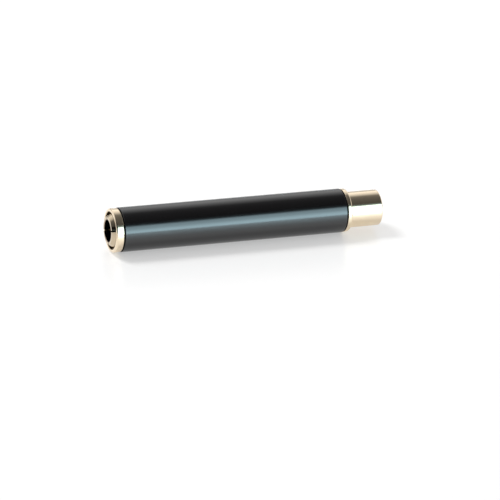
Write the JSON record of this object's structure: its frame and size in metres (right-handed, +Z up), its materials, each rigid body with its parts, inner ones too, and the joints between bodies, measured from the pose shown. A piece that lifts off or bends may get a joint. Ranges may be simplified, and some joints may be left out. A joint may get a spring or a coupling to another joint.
{
  "type": "chalk holder",
  "caption": "Clutch holder for round chalk: a lacquered tube with a gilt nose, spring-closed collet jaws and a push button that opens them.",
  "frame": {"origin": "on the table under the middle of the holder's length, lying on its barrel", "axes": "+X along the holder from nose to button, +Z up"},
  "size_m": [0.106, 0.0164, 0.0165],
  "materials": {
    "black_lacquer": "glossy black lacquer on brass tube",
    "gilt": "polished pale gilt plating",
    "black_plastic": "moulded black",
    "plain_brass": "drawn, unpolished",
    "white_plastic": "moulded acetal",
    "grey_rubber": "soft, matt",
    "zinc_steel": "zinc plated",
    "spring_steel": "drawn spring steel"
  },
  "bodies": {
    "holder": {"barrel": "black_lacquer", "nose_ferrule": "gilt", "front_spacer": "black_plastic", "rear_spacer": "black_plastic", "rear_collar": "gilt", "front_spring_washer": "zinc_steel", "guide_bush": "white_plastic", "return_spring": "spring_steel"},
    "plunger": {"push_button": "gilt", "chalk_tube": "plain_brass", "collet_sleeve": "gilt", "tube_plug": "white_plastic", "chalk_pad": "grey_rubber", "rear_spring_washer": "zinc_steel", "retaining_clip": "spring_steel"},
    "jaw_1": {"collet_jaw_1": "gilt"},
    "jaw_2": {"collet_jaw_2": "gilt"},
    "jaw_3": {"collet_jaw_3": "gilt"},
    "jaw_4": {"collet_jaw_4": "gilt"}
  },
  "joints": [
    {"name": "button_slide", "type": "slide", "parent": "holder", "child": "plunger", "axis": [-1, 0, 0], "range_m": [0, 0.005], "stiffness_N_per_m": 285, "springref_m": -0.016, "deforming": ["return_spring"]},
    {"name": "jaw_1_spread", "type": "hinge", "parent": "plunger", "child": "jaw_1", "pos_m": [-0.03122, -0.0023, 0.01319], "axis": [0, 0.9063, 0.4226], "range_deg": [0, 3.7]},
    {"name": "jaw_2_spread", "type": "hinge", "parent": "plunger", "child": "jaw_2", "pos_m": [-0.03122, -0.00494, 0.00595], "axis": [0, -0.4226, 0.9063], "range_deg": [0, 3.7]},
    {"name": "jaw_3_spread", "type": "hinge", "parent": "plunger", "child": "jaw_3", "pos_m": [-0.03122, 0.0023, 0.00331], "axis": [0, -0.9063, -0.4226], "range_deg": [0, 3.7]},
    {"name": "jaw_4_spread", "type": "hinge", "parent": "plunger", "child": "jaw_4", "pos_m": [-0.03122, 0.00494, 0.01055], "axis": [0, 0.4226, -0.9063], "range_deg": [0, 3.7]}
  ],
  "couplings": [
    {"joint": "jaw_1_spread", "follows": "button_slide", "rad_per_m": 12.566},
    {"joint": "jaw_2_spread", "follows": "button_slide", "rad_per_m": 12.566},
    {"joint": "jaw_3_spread", "follows": "button_slide", "rad_per_m": 12.566},
    {"joint": "jaw_4_spread", "follows": "button_slide", "rad_per_m": 12.566}
  ]
}
